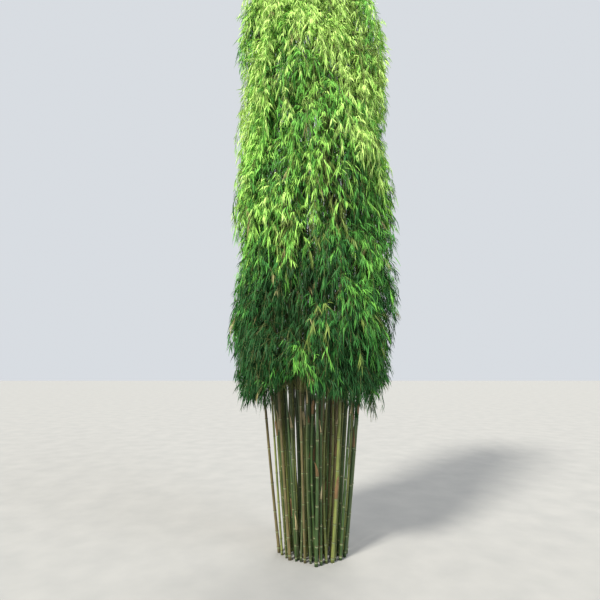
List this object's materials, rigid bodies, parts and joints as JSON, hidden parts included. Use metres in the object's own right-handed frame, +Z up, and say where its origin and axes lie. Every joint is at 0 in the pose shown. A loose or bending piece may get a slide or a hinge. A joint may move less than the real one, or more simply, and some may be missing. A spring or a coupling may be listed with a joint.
{
  "type": "clumping bamboo",
  "caption": "Clump of slender hedge bamboo rooted in the ground: close upright canes under a tall, narrow crown of drooping leaves, for gardens, hedges and patios.",
  "frame": {"origin": "at ground level, in the middle of the flat cut of the middle cane, which is the middle of the clump", "axes": "+Z up along the canes, which stand upright and fan out a little; -Y towards the viewer of the picture, +X to the right of it"},
  "size_m": [1.6869, 1.6763, 6.9453],
  "materials": {
    "culm_green": "satin, smooth and waxy",
    "culm_tan": "satin, smooth and waxy",
    "foliage": "matt to satin leaves"
  },
  "bodies": {
    "root": {"culm_01": "culm_green", "culm_02": "culm_green", "culm_03": "culm_green", "culm_04": "culm_tan", "culm_05": "culm_green", "culm_06": "culm_green", "culm_07": "culm_green", "culm_08": "culm_green", "culm_09": "culm_tan", "culm_10": "culm_green", "culm_11": "culm_green", "culm_12": "culm_green", "culm_13": "culm_green", "culm_14": "culm_tan", "culm_15": "culm_green", "culm_16": "culm_green", "culm_17": "culm_green", "culm_18": "culm_green", "culm_19": "culm_tan", "culm_20": "culm_green", "culm_21": "culm_green", "culm_22": "culm_green", "culm_23": "culm_green", "culm_24": "culm_tan", "culm_25": "culm_green", "culm_26": "culm_green", "culm_27": "culm_green", "culm_28": "culm_green", "culm_29": "culm_tan", "culm_30": "culm_green", "culm_31": "culm_green", "culm_32": "culm_green", "culm_33": "culm_green", "culm_34": "culm_tan", "culm_35": "culm_green", "culm_36": "culm_green", "culm_37": "culm_green", "culm_38": "culm_green", "culm_39": "culm_tan", "culm_40": "culm_green", "culm_41": "culm_green", "skirt_foliage_1": "foliage", "skirt_foliage_2": "foliage", "skirt_foliage_3": "foliage", "skirt_foliage_4": "foliage", "skirt_foliage_5": "foliage", "crown_foliage_01": "foliage", "crown_foliage_02": "foliage", "crown_foliage_03": "foliage", "crown_foliage_04": "foliage", "crown_foliage_05": "foliage", "crown_foliage_06": "foliage", "crown_foliage_07": "foliage", "crown_foliage_08": "foliage", "crown_foliage_09": "foliage", "crown_foliage_10": "foliage", "crown_foliage_11": "foliage", "crown_foliage_12": "foliage", "crown_foliage_13": "foliage", "crest_foliage": "foliage"}
  },
  "joints": []
}
